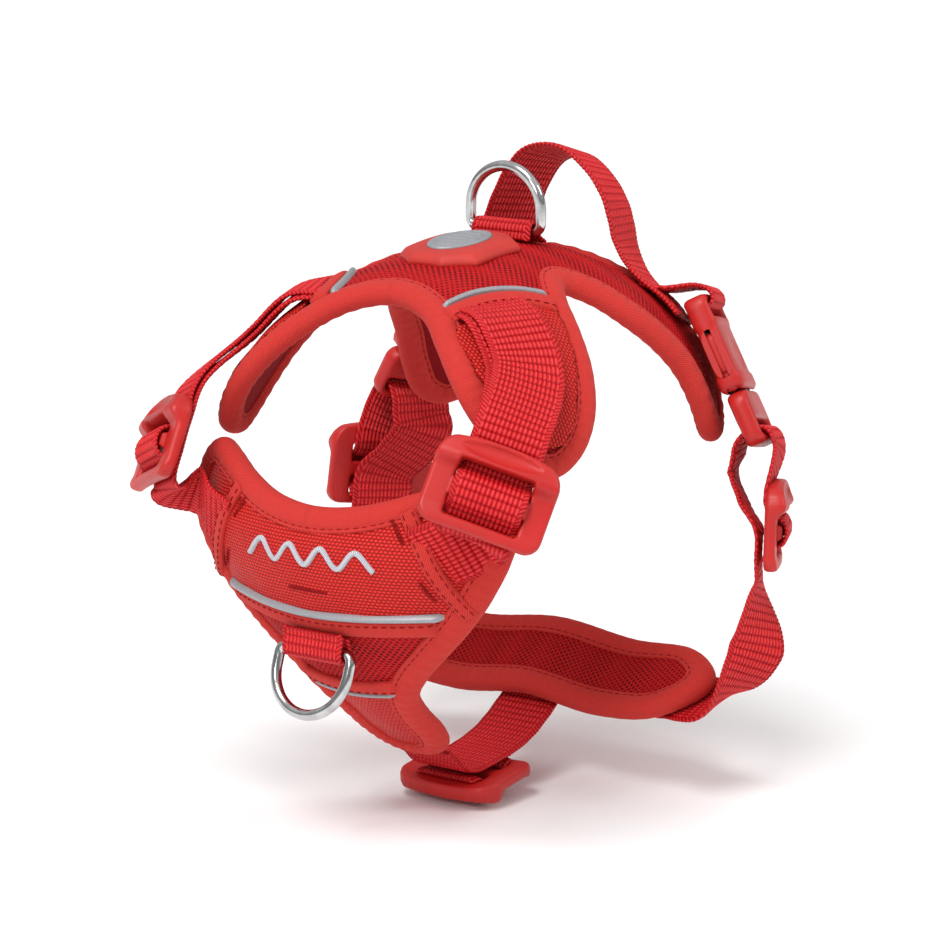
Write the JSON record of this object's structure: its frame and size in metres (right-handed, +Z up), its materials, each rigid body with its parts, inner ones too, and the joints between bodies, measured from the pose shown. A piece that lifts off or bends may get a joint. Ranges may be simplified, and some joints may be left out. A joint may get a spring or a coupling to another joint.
{
  "type": "dog harness",
  "caption": "Padded dog harness with back pad, chest plate, belly band, handle, leash rings, sliders and side-release buckles.",
  "frame": {"origin": "middle of the space that the dog's trunk fills, level with the lower tips of the back pad", "axes": "+X towards the dog's head, +Y to the dog's left, +Z up"},
  "size_m": [0.1868, 0.197, 0.2234],
  "materials": {
    "webbing": "woven, semi-matt",
    "binding": "matt twill",
    "air_mesh": "open knit, matt",
    "oxford": "coarse plain weave",
    "lining": "matt",
    "rubber": "moulded, satin",
    "reflective": "retroreflective grey",
    "thread": "silver grey satin stitch",
    "plastic": "moulded, satin",
    "steel": "polished"
  },
  "bodies": {
    "root": {"back_pad": "air_mesh", "back_lining": "lining", "chest_lining": "lining", "belly_backing": "lining", "back_binding": "binding", "chest_binding": "binding", "belly_binding": "binding", "chest_strip": "binding", "chest_low_strip": "binding", "left_shoulder_strip": "binding", "right_shoulder_strip": "binding", "left_shoulder_panel": "oxford", "right_shoulder_panel": "oxford", "chest_pad": "oxford", "left_shoulder_piping": "reflective", "right_shoulder_piping": "reflective", "chest_piping": "reflective", "chest_low_piping": "reflective", "badge_emblem": "reflective", "badge": "rubber", "chest_embroidery": "thread", "belly_pad": "air_mesh", "top_ring_tab": "webbing", "chest_ring_tab": "webbing", "handle": "webbing", "belly_strap": "webbing", "left_shoulder_strap": "webbing", "right_shoulder_strap": "webbing", "left_shoulder_return": "webbing", "right_shoulder_return": "webbing", "left_girth_strap": "webbing", "right_girth_strap": "webbing", "left_buckle_tab": "webbing", "right_buckle_tab": "webbing", "left_buckle_socket": "plastic", "right_buckle_socket": "plastic"},
    "top_ring": {"top_ring": "steel"},
    "chest_ring": {"chest_ring": "steel"},
    "belly_slider": {"belly_slider": "plastic", "belly_slider_webbing": "webbing"},
    "left_shoulder_slider": {"left_shoulder_slider": "plastic"},
    "left_plug": {"left_buckle_plug": "plastic", "left_girth_return": "webbing"},
    "left_prong_front": {"left_prong_front": "plastic"},
    "left_prong_rear": {"left_prong_rear": "plastic"},
    "left_girth_slider": {"left_girth_slider": "plastic"},
    "right_shoulder_slider": {"right_shoulder_slider": "plastic"},
    "right_plug": {"right_buckle_plug": "plastic", "right_girth_return": "webbing"},
    "right_prong_front": {"right_prong_front": "plastic"},
    "right_prong_rear": {"right_prong_rear": "plastic"},
    "right_girth_slider": {"right_girth_slider": "plastic"}
  },
  "joints": [
    {"name": "top_ring_swing", "type": "hinge", "parent": "root", "child": "top_ring", "pos_m": [-0.02243, 0, 0.08193], "axis": [0, 1, 0], "range_deg": [-70, 75]},
    {"name": "chest_ring_swing", "type": "hinge", "parent": "root", "child": "chest_ring", "pos_m": [0.08613, 0, -0.04737], "axis": [0, 1, 0], "range_deg": [-95, 45]},
    {"name": "belly_slider_slide", "type": "slide", "parent": "root", "child": "belly_slider", "axis": [-0.9929, 0, 0.1191], "range_m": [-0.005, 0.005]},
    {"name": "left_shoulder_slider_slide", "type": "slide", "parent": "root", "child": "left_shoulder_slider", "axis": [0.5064, -0.0506, -0.8608], "range_m": [-0.006, 0.006], "deforming": ["left_shoulder_return"]},
    {"name": "left_buckle_release", "type": "slide", "parent": "root", "child": "left_plug", "axis": [0, 0.4854, -0.8743], "range_m": [0, 0.022], "deforming": ["left_girth_strap"]},
    {"name": "left_girth_slider_slide", "type": "slide", "parent": "left_plug", "child": "left_girth_slider", "axis": [0.119, 0.0496, -0.9917], "range_m": [-0.006, 0.006], "deforming": ["left_girth_return"]},
    {"name": "left_prong_front_press", "type": "hinge", "parent": "left_plug", "child": "left_prong_front", "pos_m": [-0.05797, 0.07309, 0.0266], "axis": [-0.4221, 0.7926, 0.44], "range_deg": [-7, 0], "stiffness_Nm_per_rad": 0.5},
    {"name": "left_prong_rear_press", "type": "hinge", "parent": "left_plug", "child": "left_prong_rear", "pos_m": [-0.08081, 0.06379, 0.02144], "axis": [-0.4221, 0.7926, 0.44], "range_deg": [0, 7], "stiffness_Nm_per_rad": 0.5},
    {"name": "right_shoulder_slider_slide", "type": "slide", "parent": "root", "child": "right_shoulder_slider", "axis": [0.5064, 0.0506, -0.8608], "range_m": [-0.006, 0.006], "deforming": ["right_shoulder_return"]},
    {"name": "right_buckle_release", "type": "slide", "parent": "root", "child": "right_plug", "axis": [0, -0.4854, -0.8743], "range_m": [0, 0.022], "deforming": ["right_girth_strap"]},
    {"name": "right_girth_slider_slide", "type": "slide", "parent": "right_plug", "child": "right_girth_slider", "axis": [0.119, -0.0496, -0.9917], "range_m": [-0.006, 0.006], "deforming": ["right_girth_return"]},
    {"name": "right_prong_front_press", "type": "hinge", "parent": "right_plug", "child": "right_prong_front", "pos_m": [-0.05797, -0.07309, 0.0266], "axis": [0.4221, 0.7926, -0.44], "range_deg": [-7, 0], "stiffness_Nm_per_rad": 0.5},
    {"name": "right_prong_rear_press", "type": "hinge", "parent": "right_plug", "child": "right_prong_rear", "pos_m": [-0.08081, -0.06379, 0.02144], "axis": [0.4221, 0.7926, -0.44], "range_deg": [0, 7], "stiffness_Nm_per_rad": 0.5}
  ],
  "couplings": [
    {"joint": "left_prong_rear_press", "follows": "left_prong_front_press", "ratio": -1},
    {"joint": "right_prong_rear_press", "follows": "right_prong_front_press", "ratio": -1}
  ]
}
